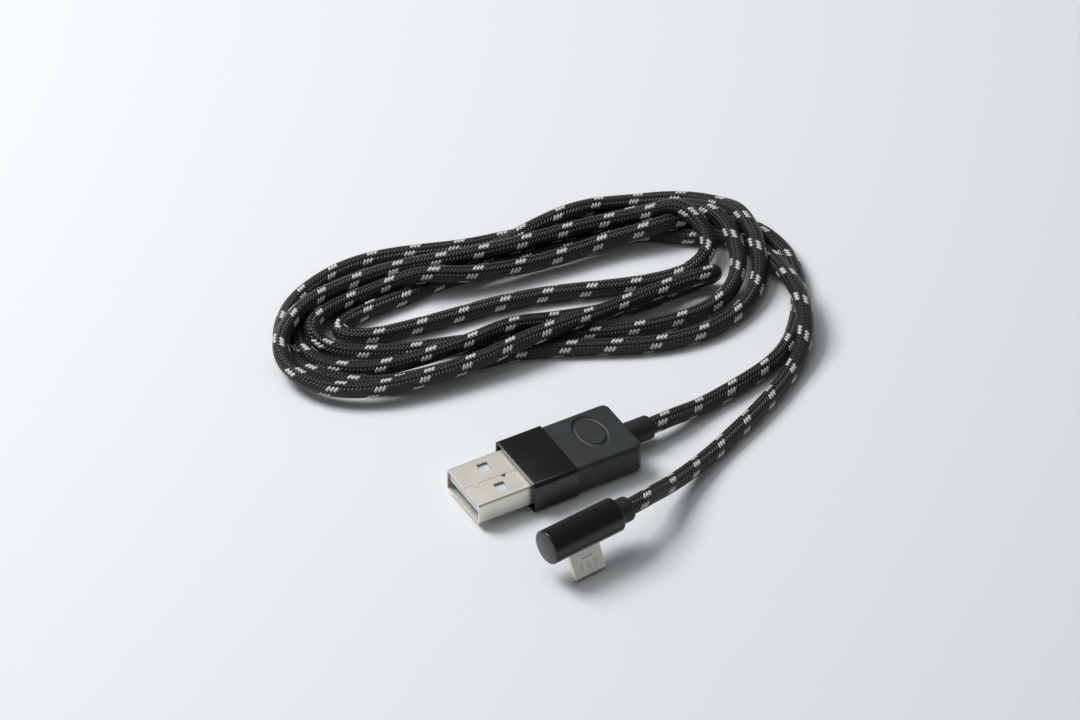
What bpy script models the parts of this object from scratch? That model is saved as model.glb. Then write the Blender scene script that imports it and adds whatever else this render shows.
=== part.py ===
"""USB-A to right-angle micro-USB charging cable, lying on a table as a loose oblong hank.

Frame: +X along the USB-A plug from its mouth to its cord, +Z up, origin on the table under the
middle of the USB-A plug. The micro-USB plug stands on the tip of its blade and leans a little.
"""
import math

import bpy
import bmesh
from mathutils import Vector

MM = 0.001
GAP = 0.3 * MM
FINE_GAP = 0.1 * MM

# The cord, and the two ends that leave the hank.
CORD_DIAMETER = 3.25 * MM
CORD_RADIUS = CORD_DIAMETER / 2
CORD_BORE = CORD_RADIUS + GAP

# USB-A plug: a folded nickel-plated shell in a hard collar with a rubber body behind it.
SHELL_WIDTH = 12.0 * MM
SHELL_HEIGHT = 4.5 * MM
SHELL_WALL = 0.3 * MM
SHELL_CORNER = 0.55 * MM
SHELL_EXPOSED = 11.0 * MM
SHELL_INSERT = 6.6 * MM
WINDOW_LENGTH = 2.1 * MM
WINDOW_WIDTH = 2.5 * MM
WINDOW_FROM_MOUTH = 6.2 * MM
WINDOW_OFFSET = 3.1 * MM
COLLAR_WIDTH = SHELL_WIDTH + 2.7 * MM
COLLAR_HEIGHT = SHELL_HEIGHT + 2.3 * MM
COLLAR_LENGTH = 9.2 * MM
COLLAR_CORNER = 0.9 * MM
COLLAR_RIM = 0.6 * MM
COLLAR_RECESS = 0.7 * MM
BODY_WIDTH = COLLAR_WIDTH - 0.8 * MM
BODY_HEIGHT = COLLAR_HEIGHT - 0.6 * MM
BODY_LENGTH = 13.7 * MM
BODY_CORNER = 1.5 * MM
BODY_WALL = 0.55 * MM
BODY_SIDE_WALL = 1.2 * MM
BODY_CAVITY_DEPTH = 9.3 * MM
BODY_BACK_ROUND = 1.1 * MM
RELIEF_DIAMETER = CORD_DIAMETER + 1.35 * MM
RELIEF_EXPOSED = 5.5 * MM
RELIEF_INSERT = 2.6 * MM
RELIEF_ROUND = 0.5 * MM
TONGUE_THICKNESS = 1.8 * MM
TONGUE_SETBACK = 0.4 * MM
CONTACT_WIDTH = 1.0 * MM
CONTACT_THICKNESS = 0.25 * MM
CONTACT_SETBACK = 1.1 * MM
CONTACT_TAIL = 0.9 * MM
CONTACT_OFFSETS = (-3.5 * MM, -1.0 * MM, 1.0 * MM, 3.5 * MM)
CONTACT_NAMES = ("ground", "data_plus", "data_minus", "power")
CRIMP_WALL = 0.25 * MM
CRIMP_LENGTH = 1.6 * MM
USB_WIRE_RADIUS = 0.35 * MM
USB_CORE_SPREAD = 0.6 * MM
MICRO_WIRE_RADIUS = 0.3 * MM
WIRE_NAMES = ("black", "green", "white", "red")

# Micro-USB plug: a turned aluminium barrel with the blade standing out of its side.
NECK_DIAMETER = CORD_DIAMETER + 1.55 * MM
BARREL_WALL = 0.6 * MM
BARREL_DIAMETER = NECK_DIAMETER + 2 * (BARREL_WALL + GAP)
BARREL_LENGTH = 15.7 * MM
BLADE_FROM_FRONT = 0.4459 * BARREL_LENGTH
END_CAP_THICKNESS = 0.6 * MM
END_CAP_SPIGOT = 1.2 * MM
EDGE_ROUND = 0.3 * MM
NECK_EXPOSED = 3.1 * MM
BLADE_WIDTH = 6.85 * MM
BLADE_BACK_WIDTH = BLADE_WIDTH - 1.25 * MM
BLADE_THICKNESS = 1.8 * MM
BLADE_WALL = 0.25 * MM
BLADE_EXPOSED = 4.6 * MM
BLADE_INSERT = 2.1 * MM
MICRO_CONTACT_PITCH = 0.65 * MM
MICRO_CONTACT_WIDTH = 0.4 * MM
MICRO_CONTACT_THICKNESS = 0.15 * MM
MICRO_CONTACT_NAMES = ("power", "data_minus", "data_plus", "sense", "ground")
INSULATOR_PLATE = 0.45 * MM
LATCH_OFFSET = BLADE_BACK_WIDTH / 2 - 0.75 * MM
LATCH_WIDTH = 0.5 * MM
LATCH_THICKNESS = 0.2 * MM
LATCH_HOOK_LENGTH = 1.0 * MM
LATCH_HOOK_FROM_TIP = 1.0 * MM
LATCH_PROUD = 0.35 * MM

# Where the micro-USB plug lies: the middle of its blade on the barrel's axis, its turn seen from
# above, and how far the blade leans from upright. Its height lets the blade's tip meet the table.
MICRO_PLACE = (-9.49 * MM, -22.89 * MM)
MICRO_TURN = math.radians(6.5)
MICRO_LEAN = math.radians(27.0)

# The hank is the outer shape of five turns, wider at its right end than at its left end.
HANK_LEFT = (-12.0 * MM, 51.5 * MM)
HANK_LEFT_RADIUS = 19.2 * MM
HANK_RIGHT = (44.7 * MM, 38.0 * MM)
HANK_RIGHT_RADIUS = 20.5 * MM
HANK_HEIGHT = 2.34 * CORD_DIAMETER
HANK_ROUND = 1.6 * MM

# Route of each free end from its plug to the hank: x and y in millimetres, and the height of the
# cord's middle above the table in cord diameters.
USB_A_ROUTE = (
    (24.6, 0.5, 0.98), (29.0, 1.3, 0.80), (33.4, 2.2, 0.63), (37.8, 3.0, 0.54),
    (43.4, 4.1, 0.51), (48.6, 5.3, 0.51), (53.0, 7.2, 0.51), (56.8, 10.3, 0.51),
    (60.2, 14.2, 0.51), (63.0, 18.4, 0.51), (65.2, 22.6, 0.51), (66.9, 27.0, 0.51),
    (68.0, 31.6, 0.51), (68.4, 36.2, 0.51), (68.3, 40.4, 0.51),
)
MICRO_ROUTE = (
    (8.0, -19.6, 2.02), (13.4, -17.0, 1.60), (18.4, -14.5, 1.20), (23.2, -12.1, 0.86),
    (27.8, -10.0, 0.65), (32.1, -8.0, 0.54), (36.2, -6.2, 0.51), (40.8, -4.1, 0.51),
    (45.7, -1.4, 0.51), (50.6, 1.6, 0.57), (53.6, 3.6, 0.77), (55.9, 5.4, 1.05),
    (58.2, 8.3, 1.35), (60.2, 11.8, 1.60), (61.7, 15.5, 1.69), (62.7, 18.9, 1.66),
    (63.6, 22.9, 1.54), (64.5, 27.9, 1.26),
)
ROUTE_SMOOTHING = 3
TUBE_STEP = 7.0 * MM


def micro_height():
    """Height of the barrel's axis when the blade's lowest corner touches the table."""
    reach = BARREL_DIAMETER / 2 + BLADE_EXPOSED
    return reach * math.cos(MICRO_LEAN) + BLADE_THICKNESS / 2 * math.sin(MICRO_LEAN)


MOUTH_X = -20.3 * MM
COLLAR_X = MOUTH_X + SHELL_EXPOSED
BODY_X = COLLAR_X + COLLAR_LENGTH + GAP
BODY_END_X = BODY_X + BODY_LENGTH
RELIEF_END_X = BODY_END_X + RELIEF_EXPOSED
SHELL_END_X = COLLAR_X + SHELL_INSERT
AXIS_Z = COLLAR_HEIGHT / 2


def clear_scene():
    for item in list(bpy.data.objects):
        bpy.data.objects.remove(item, do_unlink=True)


def finish_material(name, colour, roughness, metallic=0.0):
    material = bpy.data.materials.new(name)
    material.use_nodes = True
    shader = material.node_tree.nodes["Principled BSDF"]
    shader.inputs["Base Color"].default_value = (*colour, 1.0)
    shader.inputs["Roughness"].default_value = roughness
    shader.inputs["Metallic"].default_value = metallic
    material.diffuse_color = (*colour, 1.0)
    return material


def place(name, data, material, parent=None):
    """Put a mesh or curve in the scene as one named part."""
    item = bpy.data.objects.new(name, data)
    bpy.context.scene.collection.objects.link(item)
    data.materials.append(material)
    item.parent = parent
    return item


def rounded_rectangle(width, height, corner, steps=5):
    """Points of a rounded rectangle round the middle, anticlockwise, as (across, up)."""
    points = []
    for quarter, (side, top) in enumerate(((1, 1), (-1, 1), (-1, -1), (1, -1))):
        for step in range(steps + 1):
            angle = math.radians(90 * (quarter + step / steps))
            points.append((side * (width / 2 - corner) + corner * math.cos(angle),
                           top * (height / 2 - corner) + corner * math.sin(angle)))
    return points


def circle_points(radius, count):
    """Points of a circle that pair up with those of a rounded rectangle."""
    return [(radius * math.cos(math.tau * (i + 0.5) / count),
             radius * math.sin(math.tau * (i + 0.5) / count)) for i in range(count)]


def loft(name, rings, material, parent=None, hollow=False):
    """Skin rings of points into one closed body; a hollow one's last ring meets its first."""
    shape = bmesh.new()
    rows = [[shape.verts.new(point) for point in ring] for ring in rings]
    pairs = list(zip(rows, rows[1:]))
    if hollow:
        pairs.append((rows[-1], rows[0]))
    else:
        shape.faces.new(rows[0])
        shape.faces.new(list(reversed(rows[-1])))
    for near, far in pairs:
        for i in range(len(near)):
            j = (i + 1) % len(near)
            shape.faces.new((near[i], far[i], far[j], near[j]))
    bmesh.ops.recalc_face_normals(shape, faces=shape.faces)
    mesh = bpy.data.meshes.new(name)
    shape.to_mesh(mesh)
    shape.free()
    return place(name, mesh, material, parent)


def shade_round(item, angle=35):
    item.data.shade_smooth()
    item.data.set_sharp_from_angle(angle=math.radians(angle))


def along_x(outline, x, height=0.0):
    return [Vector((x, across, up + height)) for across, up in outline]


def turned(name, profile, material, parent=None, hollow=False, height=0.0, sides=32):
    """A round piece about a line along X, from a profile of (x, radius) points."""
    rings = [along_x(circle_points(radius, sides), x, height) for x, radius in profile]
    item = loft(name, rings, material, parent, hollow)
    shade_round(item)
    return item


def block(name, low, high, material, parent=None):
    """A box between two corners."""
    mesh = bpy.data.meshes.new(name)
    shape = bmesh.new()
    bmesh.ops.create_cube(shape, size=1.0)
    size = Vector(high) - Vector(low)
    bmesh.ops.scale(shape, vec=size, verts=shape.verts)
    bmesh.ops.translate(shape, vec=(Vector(high) + Vector(low)) / 2, verts=shape.verts)
    shape.to_mesh(mesh)
    shape.free()
    return place(name, mesh, material, parent)


def combine(item, tool, operation):
    """Cut the tool out of a part, or join it on, and keep the tool as a hidden guide."""
    tool.hide_render = True
    tool.display_type = "WIRE"
    change = item.modifiers.new(tool.name, "BOOLEAN")
    change.operation = operation
    change.solver = "EXACT"
    change.object = tool


def soften(item, width, segments=2):
    edges = item.modifiers.new("soft_edges", "BEVEL")
    edges.width = width
    edges.segments = segments
    edges.limit_method = "ANGLE"
    edges.angle_limit = math.radians(40)


def smooth_path(points, passes):
    """Round a route off by halving its corners, its two ends staying where they are."""
    for _ in range(passes):
        cut = [points[0]]
        for start, end in zip(points, points[1:]):
            cut.append(start.lerp(end, 0.25))
            cut.append(start.lerp(end, 0.75))
        cut.append(points[-1])
        points = cut
    return points


def even_points(points, step):
    """Points a step apart along a path, with both of its ends."""
    lengths = [0.0]
    for start, end in zip(points, points[1:]):
        lengths.append(lengths[-1] + (end - start).length)
    count = max(1, round(lengths[-1] / step))
    chosen = []
    place_at = 0
    for k in range(count + 1):
        wanted = lengths[-1] * k / count
        while place_at < len(points) - 2 and lengths[place_at + 1] < wanted:
            place_at += 1
        span = lengths[place_at + 1] - lengths[place_at]
        part = (wanted - lengths[place_at]) / span if span else 0.0
        chosen.append(points[place_at].lerp(points[place_at + 1], min(1.0, part)))
    return chosen


def tube(name, points, radius, material, parent=None, resolution=2):
    """A cord or wire as a bevelled poly line with closed ends."""
    curve = bpy.data.curves.new(name, "CURVE")
    curve.dimensions = "3D"
    curve.bevel_depth = radius
    curve.bevel_resolution = resolution
    curve.use_fill_caps = True
    line = curve.splines.new("POLY")
    line.points.add(len(points) - 1)
    for spot, point in zip(line.points, points):
        spot.co = (*point, 1.0)
    return place(name, curve, material, parent)


def usb_a_shell(nickel):
    """Folded shell: a thin rectangular tube with two latch windows above and two below."""
    outer = rounded_rectangle(SHELL_WIDTH, SHELL_HEIGHT, SHELL_CORNER)
    inner = rounded_rectangle(SHELL_WIDTH - 2 * SHELL_WALL, SHELL_HEIGHT - 2 * SHELL_WALL,
                              SHELL_CORNER - SHELL_WALL)
    rings = [along_x(outer, MOUTH_X, AXIS_Z), along_x(outer, SHELL_END_X, AXIS_Z),
             along_x(inner, SHELL_END_X, AXIS_Z), along_x(inner, MOUTH_X, AXIS_Z)]
    shell = loft("usb_a_shell", rings, nickel, hollow=True)
    middle = MOUTH_X + WINDOW_FROM_MOUTH
    for side in (-1, 1):
        across = side * WINDOW_OFFSET
        cutter = block(f"window_cutter_{side}",
                       (middle - WINDOW_LENGTH / 2, across - WINDOW_WIDTH / 2, -SHELL_HEIGHT),
                       (middle + WINDOW_LENGTH / 2, across + WINDOW_WIDTH / 2,
                        AXIS_Z + SHELL_HEIGHT), nickel)
        combine(shell, cutter, "DIFFERENCE")


def usb_a_insides(plastic, gold, colours, braid, nickel):
    """Insulator with its tongue, four contacts, the wires, the cord's core and its crimp."""
    roof = AXIS_Z + SHELL_HEIGHT / 2 - SHELL_WALL - GAP
    floor = AXIS_Z - SHELL_HEIGHT / 2 + SHELL_WALL + GAP
    under = roof - TONGUE_THICKNESS
    half = SHELL_WIDTH / 2 - SHELL_WALL - GAP
    front = MOUTH_X + TONGUE_SETBACK
    step = COLLAR_X
    back = SHELL_END_X - GAP
    outline = ((front, under), (front, roof), (back, roof), (back, floor), (step, floor),
               (step, under))
    rings = [[Vector((x, side * half, z)) for x, z in outline] for side in (-1, 1)]
    insulator = loft("usb_a_insulator", rings, plastic)
    strip_top = under - GAP
    strip_low = strip_top - CONTACT_THICKNESS
    reach = CONTACT_OFFSETS[-1] + CONTACT_WIDTH / 2 + GAP
    slot = block("contact_slot_cutter", (step - GAP, -reach, strip_low - GAP),
                 (back + GAP, reach, under + 0.1 * GAP), plastic)
    combine(insulator, slot, "DIFFERENCE")
    tail_x = SHELL_END_X + CONTACT_TAIL
    core_x = BODY_X + BODY_CAVITY_DEPTH - CRIMP_LENGTH - 2 * GAP
    corners = ((-1, 1), (-1, -1), (1, -1), (1, 1))
    for name, colour, across, corner in zip(CONTACT_NAMES, WIRE_NAMES, CONTACT_OFFSETS, corners):
        block(f"usb_a_contact_{name}",
              (MOUTH_X + CONTACT_SETBACK, across - CONTACT_WIDTH / 2, strip_low),
              (tail_x, across + CONTACT_WIDTH / 2, strip_top), gold)
        middle = (strip_low + strip_top) / 2
        end = Vector((core_x - GAP, corner[0] * USB_CORE_SPREAD,
                      AXIS_Z + corner[1] * USB_CORE_SPREAD))
        start = Vector((tail_x + GAP, across, middle))
        path = [start, start + Vector((1.2 * MM, 0, 0)), end - Vector((1.6 * MM, 0, 0)), end]
        tube(f"usb_a_wire_{colour}", smooth_path(path, 2), USB_WIRE_RADIUS, colours[colour],
             resolution=1)
    turned("usb_a_cord_core", ((core_x, CORD_RADIUS), (RELIEF_END_X, CORD_RADIUS)), braid,
           height=AXIS_Z, sides=16)
    crimp_x = core_x + GAP
    turned("usb_a_crimp", ((crimp_x, CORD_BORE), (crimp_x, CORD_BORE + CRIMP_WALL),
                           (crimp_x + CRIMP_LENGTH, CORD_BORE + CRIMP_WALL),
                           (crimp_x + CRIMP_LENGTH, CORD_BORE)), nickel, hollow=True,
           height=AXIS_Z, sides=24)


def usb_a_collar(gloss):
    """Hard glossy sleeve round the shell, its front face sunk inside a narrow rim."""
    outer = rounded_rectangle(COLLAR_WIDTH, COLLAR_HEIGHT, COLLAR_CORNER)
    rim = rounded_rectangle(COLLAR_WIDTH - 2 * COLLAR_RIM, COLLAR_HEIGHT - 2 * COLLAR_RIM,
                            COLLAR_CORNER - COLLAR_RIM / 2)
    hole = rounded_rectangle(SHELL_WIDTH + 2 * GAP, SHELL_HEIGHT + 2 * GAP, SHELL_CORNER)
    end = COLLAR_X + COLLAR_LENGTH
    rings = [along_x(outer, COLLAR_X, AXIS_Z), along_x(outer, end, AXIS_Z),
             along_x(hole, end, AXIS_Z), along_x(hole, COLLAR_X + COLLAR_RECESS, AXIS_Z),
             along_x(rim, COLLAR_X + COLLAR_RECESS, AXIS_Z), along_x(rim, COLLAR_X, AXIS_Z)]
    loft("usb_a_collar", rings, gloss, hollow=True)


def usb_a_body(rubber):
    """Rubber body, hollow for the wires and the crimp, with a round hole for the strain relief."""
    outer = rounded_rectangle(BODY_WIDTH, BODY_HEIGHT, BODY_CORNER)
    tail = rounded_rectangle(BODY_WIDTH - 2 * BODY_BACK_ROUND, BODY_HEIGHT - BODY_BACK_ROUND,
                             BODY_CORNER - BODY_BACK_ROUND / 2)
    cavity = rounded_rectangle(BODY_WIDTH - 2 * BODY_SIDE_WALL, BODY_HEIGHT - 2 * BODY_WALL,
                               BODY_CORNER - BODY_WALL)
    hole = circle_points(RELIEF_DIAMETER / 2 + GAP, len(outer))
    depth = BODY_X + BODY_CAVITY_DEPTH
    shoulder = BODY_END_X - BODY_BACK_ROUND
    rings = [along_x(outer, BODY_X, AXIS_Z), along_x(outer, shoulder, AXIS_Z),
             along_x(tail, BODY_END_X, AXIS_Z), along_x(hole, BODY_END_X, AXIS_Z),
             along_x(hole, depth, AXIS_Z), along_x(cavity, depth, AXIS_Z),
             along_x(cavity, BODY_X, AXIS_Z)]
    loft("usb_a_rubber_body", rings, rubber, hollow=True)


def usb_a_strain_relief(rubber):
    start = BODY_END_X - RELIEF_INSERT
    outside = RELIEF_DIAMETER / 2
    profile = ((start, CORD_BORE), (start, outside), (RELIEF_END_X - RELIEF_ROUND, outside),
               (RELIEF_END_X - 0.3 * RELIEF_ROUND, outside - 0.3 * RELIEF_ROUND),
               (RELIEF_END_X, CORD_BORE + 0.1 * MM), (RELIEF_END_X, CORD_BORE))
    turned("usb_a_strain_relief", profile, rubber, hollow=True, height=AXIS_Z)


def micro_empty():
    """The micro-USB plug's own frame: X along the barrel to the cord, the blade along -Z."""
    frame = bpy.data.objects.new("micro_usb_plug", None)
    bpy.context.scene.collection.objects.link(frame)
    frame.location = (*MICRO_PLACE, micro_height())
    frame.rotation_euler = (-MICRO_LEAN, 0.0, MICRO_TURN)
    return frame


BARREL_FRONT = -BLADE_FROM_FRONT
BARREL_BACK = BARREL_FRONT + BARREL_LENGTH
NECK_END = BARREL_BACK + NECK_EXPOSED
BEHIND_BLADE = BARREL_BACK - BLADE_WIDTH / 2 - 3 * GAP
NECK_INSERT = 0.47 * BEHIND_BLADE
MICRO_CRIMP_LENGTH = 0.5 * BEHIND_BLADE
BARREL_BORE = BARREL_DIAMETER / 2 - BARREL_WALL
TIP_Z = -BARREL_DIAMETER / 2 - BLADE_EXPOSED
ROOT_Z = -BARREL_DIAMETER / 2 + BLADE_INSERT


def micro_barrel(anodised, frame):
    """Turned tube with a slot for the blade, and the disc that closes its front end."""
    radius = BARREL_DIAMETER / 2
    start = BARREL_FRONT + END_CAP_THICKNESS + GAP
    profile = ((start, BARREL_BORE), (start, radius), (BARREL_BACK - EDGE_ROUND, radius),
               (BARREL_BACK, radius - EDGE_ROUND), (BARREL_BACK, BARREL_BORE))
    barrel = turned("micro_barrel", profile, anodised, frame, hollow=True, sides=40)
    half_length = BLADE_WIDTH / 2 + GAP
    half_width = BLADE_THICKNESS / 2 + GAP
    cutter = block("blade_slot_cutter", (-half_length, -half_width, -BARREL_DIAMETER),
                   (half_length, half_width, -BARREL_BORE / 2), anodised, frame)
    combine(barrel, cutter, "DIFFERENCE")
    spigot = BARREL_BORE - GAP
    face = BARREL_FRONT
    turned("micro_end_cap", ((face, radius - EDGE_ROUND), (face + EDGE_ROUND, radius),
                             (face + END_CAP_THICKNESS, radius),
                             (face + END_CAP_THICKNESS, spigot),
                             (face + END_CAP_THICKNESS + END_CAP_SPIGOT, spigot)),
           anodised, frame, sides=40)


def micro_neck(rubber, braid, nickel, frame):
    """Rubber neck in the barrel's back end, with the cord's core and its crimp inside."""
    outside = NECK_DIAMETER / 2
    start = BARREL_BACK - NECK_INSERT
    turned("micro_neck", ((start, CORD_BORE), (start, outside), (NECK_END - RELIEF_ROUND, outside),
                          (NECK_END, outside - RELIEF_ROUND / 2), (NECK_END, CORD_BORE)),
           rubber, frame, hollow=True)
    crimp_x = start - GAP - MICRO_CRIMP_LENGTH
    turned("micro_crimp", ((crimp_x, CORD_BORE), (crimp_x, CORD_BORE + CRIMP_WALL),
                           (crimp_x + MICRO_CRIMP_LENGTH, CORD_BORE + CRIMP_WALL),
                           (crimp_x + MICRO_CRIMP_LENGTH, CORD_BORE)), nickel, frame, hollow=True,
           sides=24)
    core_x = crimp_x - GAP
    turned("micro_cord_core", ((core_x, CORD_RADIUS), (NECK_END, CORD_RADIUS)), braid, frame,
           sides=16)
    return core_x


def blade_outline(inset):
    """Blade's section as (x, y): wide on its front, and narrower on its back, at +y."""
    wide = BLADE_WIDTH / 2 - inset
    narrow = BLADE_BACK_WIDTH / 2 - inset * 0.8
    half = BLADE_THICKNESS / 2 - inset
    shoulder = 0.1 * BLADE_THICKNESS
    round_off = 0.18 * MM
    return [(-wide, -half + round_off), (-wide + round_off, -half), (wide - round_off, -half),
            (wide, -half + round_off), (wide, shoulder), (narrow, half), (-narrow, half),
            (-wide, shoulder)]


def micro_shell(nickel, frame):
    """Blade's metal skin, open at its tip, with a slot for each latch hook in its back."""
    outer = blade_outline(0.0)
    inner = blade_outline(BLADE_WALL)
    rings = [[Vector((x, y, z)) for x, y in ring]
             for ring, z in ((outer, ROOT_Z), (outer, TIP_Z), (inner, TIP_Z), (inner, ROOT_Z))]
    shell = loft("micro_shell", rings, nickel, frame, hollow=True)
    low = TIP_Z + LATCH_HOOK_FROM_TIP - 2 * FINE_GAP
    for side in (-1, 1):
        middle = side * LATCH_OFFSET
        half = LATCH_WIDTH / 2 + 1.5 * FINE_GAP
        cutter = block(f"latch_slot_cutter_{side}", (middle - half, 0.0, low),
                       (middle + half, BLADE_THICKNESS, low + LATCH_HOOK_LENGTH + 4 * FINE_GAP),
                       nickel, frame)
        combine(shell, cutter, "DIFFERENCE")


def micro_insides(plastic, gold, steel, colours, frame, core_x):
    """Insulator, five contacts, the two latch springs and the four wires."""
    front = -BLADE_THICKNESS / 2 + BLADE_WALL + FINE_GAP
    back = -front
    plate_back = front + INSULATOR_PLATE
    contact_low = plate_back + FINE_GAP
    contact_high = contact_low + MICRO_CONTACT_THICKNESS
    outer_contact = 2 * MICRO_CONTACT_PITCH + MICRO_CONTACT_WIDTH / 2
    half_plate = outer_contact + FINE_GAP
    plate_low = TIP_Z + 0.4 * MM
    block_low = ROOT_Z - 1.3 * MM
    insulator = block("micro_insulator", (-half_plate, front, plate_low),
                      (half_plate, plate_back, ROOT_Z - FINE_GAP), plastic, frame)
    half_block = BLADE_BACK_WIDTH / 2 - BLADE_WALL - 2 * FINE_GAP
    base = block("insulator_base_guide", (-half_block, front, block_low),
                 (half_block, back, ROOT_Z - FINE_GAP), plastic, frame)
    combine(insulator, base, "UNION")
    slot = block("insulator_slot_cutter",
                 (-half_plate, contact_low - FINE_GAP / 2, block_low - GAP),
                 (half_plate, contact_high + FINE_GAP, ROOT_Z + GAP), plastic, frame)
    combine(insulator, slot, "DIFFERENCE")
    contact_top = ROOT_Z + 0.6 * MM
    for number, name in enumerate(MICRO_CONTACT_NAMES):
        middle = (number - 2) * MICRO_CONTACT_PITCH
        block(f"micro_contact_{name}", (middle - MICRO_CONTACT_WIDTH / 2, contact_low,
                                        TIP_Z + 0.9 * MM),
              (middle + MICRO_CONTACT_WIDTH / 2, contact_high, contact_top), gold, frame)
    arm_back = BLADE_THICKNESS / 2 - BLADE_WALL - 2.5 * FINE_GAP
    arm_front = arm_back - LATCH_THICKNESS
    hook_low = TIP_Z + LATCH_HOOK_FROM_TIP
    hook_high = hook_low + LATCH_HOOK_LENGTH
    nose = BLADE_THICKNESS / 2 + LATCH_PROUD
    arm_top = block_low - FINE_GAP
    outline = ((arm_front, arm_top), (arm_front, hook_low), (arm_back, hook_low),
               (nose, hook_low + 0.55 * LATCH_HOOK_LENGTH), (nose, hook_high - 0.1 * MM),
               (arm_back, hook_high), (arm_back, arm_top))
    for side, name in ((-1, "left"), (1, "right")):
        middle = side * LATCH_OFFSET
        rings = [[Vector((middle + half, y, z)) for y, z in outline]
                 for half in (-LATCH_WIDTH / 2, LATCH_WIDTH / 2)]
        loft(f"micro_latch_{name}", rings, steel, frame)
    middle = (contact_low + contact_high) / 2
    joined = (0, 1, 2, 4)
    for order, (number, colour) in enumerate(zip(joined, reversed(WIRE_NAMES))):
        x = (number - 2) * MICRO_CONTACT_PITCH
        level = (1.9 - 0.75 * order) * MM
        entry = (1.1 - 0.73 * order) * MM
        path = [Vector((x, middle, contact_top + FINE_GAP)), Vector((x, middle, level)),
                Vector((core_x - 1.2 * MM, middle, level)), Vector((core_x - GAP, 0.0, entry))]
        tube(f"micro_wire_{colour}", smooth_path(path, 2), MICRO_WIRE_RADIUS, colours[colour],
             frame, resolution=1)


def hank_outline():
    """Outline of two circles and the straight sides that touch both."""
    left = Vector(HANK_LEFT)
    right = Vector(HANK_RIGHT)
    along = right - left
    heading = math.atan2(along.y, along.x)
    half_turn = math.acos((HANK_LEFT_RADIUS - HANK_RIGHT_RADIUS) / along.length)
    points = []
    for centre, radius, start, sweep in (
            (right, HANK_RIGHT_RADIUS, heading - half_turn, 2 * half_turn),
            (left, HANK_LEFT_RADIUS, heading + half_turn, math.tau - 2 * half_turn)):
        steps = 28
        for step in range(steps + 1):
            angle = start + sweep * step / steps
            points.append(centre + radius * Vector((math.cos(angle), math.sin(angle))))
    return points


def cord(braid, frame):
    """The hank as one plain solid, and a tube for each free end."""
    outline = hank_outline()
    rings = [[Vector((point.x, point.y, height)) for point in outline]
             for height in (0.0, HANK_HEIGHT)]
    hank = loft("cord_hank", rings, braid)
    soften(hank, HANK_ROUND)
    bpy.context.view_layer.update()
    neck_exit = frame.matrix_world @ Vector((NECK_END + GAP, 0.0, 0.0))
    neck_ahead = frame.matrix_world @ Vector((NECK_END + GAP + CORD_DIAMETER, 0.0, 0.0))
    relief_exit = Vector((RELIEF_END_X + GAP, 0.0, AXIS_Z))
    relief_ahead = relief_exit + Vector((CORD_DIAMETER, 0.0, 0.0))
    for name, leaving, ahead, route in (
            ("cord_usb_a_end", relief_exit, relief_ahead, USB_A_ROUTE),
            ("cord_micro_end", neck_exit, neck_ahead, MICRO_ROUTE)):
        points = [Vector((x * MM, y * MM, height * CORD_DIAMETER)) for x, y, height in route]
        free = smooth_path([ahead] + points, ROUTE_SMOOTHING)
        tube(name, [leaving] + even_points(free, TUBE_STEP), CORD_RADIUS, braid)


def build():
    clear_scene()
    nickel = finish_material("satin_nickel", (0.72, 0.70, 0.64), 0.32, 1.0)
    white = finish_material("natural_nylon", (0.80, 0.82, 0.86), 0.45)
    black = finish_material("black_nylon", (0.03, 0.03, 0.03), 0.5)
    gold = finish_material("gold_plate", (0.83, 0.64, 0.27), 0.25, 1.0)
    steel = finish_material("spring_steel", (0.60, 0.60, 0.60), 0.3, 1.0)
    gloss = finish_material("gloss_black_abs", (0.035, 0.035, 0.038), 0.18)
    slate = finish_material("slate_rubber", (0.10, 0.11, 0.115), 0.6)
    rubber = finish_material("black_rubber", (0.045, 0.045, 0.05), 0.5)
    anodised = finish_material("black_anodised", (0.07, 0.07, 0.075), 0.3, 0.8)
    braid = finish_material("braid", (0.06, 0.05, 0.045), 0.6)
    colours = {
        "black": finish_material("wire_black", (0.02, 0.02, 0.02), 0.4),
        "green": finish_material("wire_green", (0.05, 0.35, 0.12), 0.4),
        "white": finish_material("wire_white", (0.80, 0.80, 0.78), 0.4),
        "red": finish_material("wire_red", (0.55, 0.04, 0.03), 0.4),
    }
    usb_a_shell(nickel)
    usb_a_insides(white, gold, colours, braid, nickel)
    usb_a_collar(gloss)
    usb_a_body(slate)
    usb_a_strain_relief(rubber)
    frame = micro_empty()
    micro_barrel(anodised, frame)
    core_x = micro_neck(rubber, braid, nickel, frame)
    micro_shell(nickel, frame)
    micro_insides(black, gold, steel, colours, frame, core_x)
    cord(braid, frame)


build()
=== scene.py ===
import math

import bmesh
import bpy
import numpy as np
from mathutils import Matrix, Vector


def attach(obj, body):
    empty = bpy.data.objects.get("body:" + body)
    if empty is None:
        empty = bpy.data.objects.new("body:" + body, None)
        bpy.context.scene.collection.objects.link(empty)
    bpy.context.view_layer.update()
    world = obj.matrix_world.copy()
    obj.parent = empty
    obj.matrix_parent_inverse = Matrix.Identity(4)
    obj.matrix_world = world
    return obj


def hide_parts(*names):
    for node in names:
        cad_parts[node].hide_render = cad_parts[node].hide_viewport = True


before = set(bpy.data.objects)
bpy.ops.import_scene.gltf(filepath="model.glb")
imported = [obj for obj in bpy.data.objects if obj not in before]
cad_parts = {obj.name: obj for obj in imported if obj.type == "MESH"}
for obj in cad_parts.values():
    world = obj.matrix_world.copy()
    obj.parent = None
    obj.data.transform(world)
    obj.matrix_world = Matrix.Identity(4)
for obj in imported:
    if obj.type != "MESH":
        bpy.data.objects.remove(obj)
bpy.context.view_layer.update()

# ---- Camera -------------------------------------------------------------------------------
# A long lens a good way off, above the near side of the plugs and a little to their left.

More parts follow.
